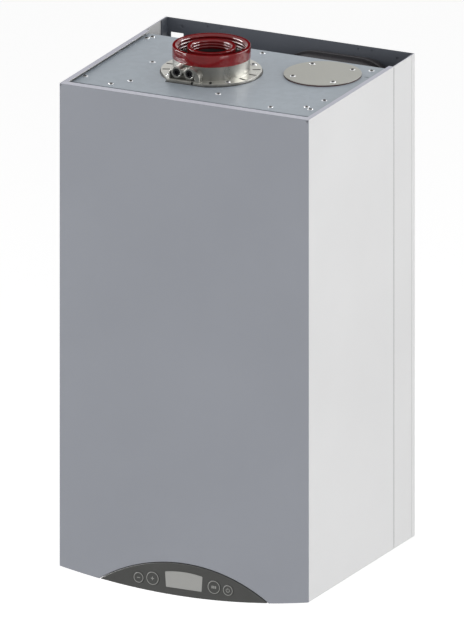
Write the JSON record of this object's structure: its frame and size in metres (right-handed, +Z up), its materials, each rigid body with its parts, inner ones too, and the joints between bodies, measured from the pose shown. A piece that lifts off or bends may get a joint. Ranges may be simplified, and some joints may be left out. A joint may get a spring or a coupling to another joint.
{
  "type": "combi boiler",
  "caption": "Wall-hung condensing combi boiler with a bowed front panel, dark lens-shaped control fascia, flue adapter with red seals and full inner works.",
  "frame": {"origin": "the wall face, on the centre line, level with the lower edge of the side panels", "axes": "+X to the right as seen from the front, +Y into the wall, +Z up; the front faces -Y"},
  "size_m": [0.41, 0.3618, 0.8224],
  "materials": {
    "silver_grey_paint": "satin powder coat",
    "white_paint": "satin powder coat",
    "slate_coat": "matt primer",
    "zinc_sheet": "zinc coated",
    "dark_screw": "black zinc",
    "cast_alloy": "die cast",
    "black_rubber": "matt",
    "red_seal": "silicone, glossy",
    "dark_duct": "moulded",
    "black_plug": "matt",
    "cream_plate": "satin",
    "fascia_plastic": "fine grain",
    "display_window": "clear over grey",
    "circuit_board": "solder mask",
    "button_plastic": "soft touch",
    "box_plastic": "moulded",
    "drum_plastic": "moulded",
    "stainless_steel": "bright",
    "ceramic_white": "glazed",
    "motor_black": "moulded",
    "copper_pipe": "copper, drawn",
    "composite_black": "glass filled",
    "brass": "turned",
    "red_knob": "moulded",
    "trap_plastic": "translucent moulding",
    "vessel_paint": "satin"
  },
  "bodies": {
    "boiler": {"air_silencer": "drum_plastic", "back_plate": "slate_coat", "blanking_gasket": "red_seal", "blanking_plate": "cream_plate", "bottom_bracket": "zinc_sheet", "burner_door": "cast_alloy", "burner_tube": "stainless_steel", "chamber_body": "zinc_sheet", "chamber_cover": "zinc_sheet", "condensate_trap": "trap_plastic", "control_box": "box_plastic", "control_box_lid": "box_plastic", "control_fascia": "fascia_plastic", "display_board": "circuit_board", "display_window": "display_window", "diverter_motor": "box_plastic", "exchanger_coil": "stainless_steel", "exchanger_drum": "drum_plastic", "expansion_vessel": "vessel_paint", "fan_housing": "cast_alloy", "fan_motor": "motor_black", "flow_manifold": "composite_black", "flow_pipe": "copper_pipe", "flue_adapter": "cast_alloy", "flue_gasket": "black_rubber", "flue_seal_inner": "red_seal", "flue_seal_outer": "red_seal", "frame_cheek_left": "white_paint", "frame_cheek_right": "white_paint", "gas_pipe": "copper_pipe", "gas_valve": "cast_alloy", "ignition_electrode": "ceramic_white", "ignition_transformer": "motor_black", "inner_flue_tube": "dark_duct", "main_board": "circuit_board", "plate_exchanger": "stainless_steel", "pump_motor": "motor_black", "return_manifold": "composite_black", "return_pipe": "copper_pipe", "safety_valve": "brass", "sheet_screws": "dark_screw", "side_panel_left": "white_paint", "side_panel_right": "white_paint", "top_panel": "zinc_sheet", "vessel_hose": "black_rubber"},
    "front_cover": {"front_panel": "silver_grey_paint"},
    "minus_button": {"button_minus": "button_plastic"},
    "plus_button": {"button_plus": "button_plastic"},
    "mode_button": {"button_mode": "button_plastic"},
    "power_button": {"button_power": "button_plastic"},
    "left_plug": {"sampling_plug_left": "black_plug"},
    "right_plug": {"sampling_plug_right": "black_plug"},
    "fan_wheel": {"fan_impeller": "drum_plastic"},
    "pump_wheel": {"pump_impeller": "stainless_steel"},
    "turbine_wheel": {"flow_turbine": "drum_plastic"},
    "diverter_spool": {"diverter_stem": "brass"},
    "relief_knob": {"safety_valve_knob": "red_knob"},
    "vent_cap": {"air_vent_cap": "motor_black"},
    "filling_tap": {"filling_knob": "motor_black"}
  },
  "joints": [
    {"name": "front_panel_pull", "type": "slide", "parent": "boiler", "child": "front_cover", "axis": [0, -1, 0], "range_m": [0, 0.1]},
    {"name": "minus_press", "type": "slide", "parent": "boiler", "child": "minus_button", "axis": [0, 1, 0], "range_m": [0, 0.0012], "stiffness_N_per_m": 900},
    {"name": "plus_press", "type": "slide", "parent": "boiler", "child": "plus_button", "axis": [0, 1, 0], "range_m": [0, 0.0012], "stiffness_N_per_m": 900},
    {"name": "mode_press", "type": "slide", "parent": "boiler", "child": "mode_button", "axis": [0, 1, 0], "range_m": [0, 0.0012], "stiffness_N_per_m": 900},
    {"name": "power_press", "type": "slide", "parent": "boiler", "child": "power_button", "axis": [0, 1, 0], "range_m": [0, 0.0012], "stiffness_N_per_m": 900},
    {"name": "left_plug_pull", "type": "slide", "parent": "boiler", "child": "left_plug", "axis": [0, -1, 0], "range_m": [0, 0.012]},
    {"name": "right_plug_pull", "type": "slide", "parent": "boiler", "child": "right_plug", "axis": [0, -1, 0], "range_m": [0, 0.012]},
    {"name": "fan_spin", "type": "hinge", "parent": "boiler", "child": "fan_wheel", "pos_m": [0.12, -0.3002, 0.41], "axis": [0, 1, 0], "continuous": true},
    {"name": "pump_spin", "type": "hinge", "parent": "boiler", "child": "pump_wheel", "pos_m": [0.12, -0.1897, 0.235], "axis": [0, 1, 0], "continuous": true},
    {"name": "turbine_spin", "type": "hinge", "parent": "boiler", "child": "turbine_wheel", "pos_m": [0.07, -0.16, 0.08], "axis": [0, 0, 1], "continuous": true},
    {"name": "diverter_lift", "type": "slide", "parent": "boiler", "child": "diverter_spool", "axis": [0, 0, 1], "range_m": [0, 0.006]},
    {"name": "relief_knob_turn", "type": "hinge", "parent": "boiler", "child": "relief_knob", "pos_m": [-0.14, -0.225, 0.095], "axis": [0, -1, 0], "range_deg": [0, 90]},
    {"name": "vent_cap_turn", "type": "hinge", "parent": "boiler", "child": "vent_cap", "pos_m": [0.176, -0.16, 0.2733], "axis": [0, 0, 1], "range_deg": [0, 180]},
    {"name": "filling_tap_turn", "type": "hinge", "parent": "boiler", "child": "filling_tap", "pos_m": [0.107, -0.16, 0], "axis": [0, 0, 1], "range_deg": [0, 90]}
  ]
}
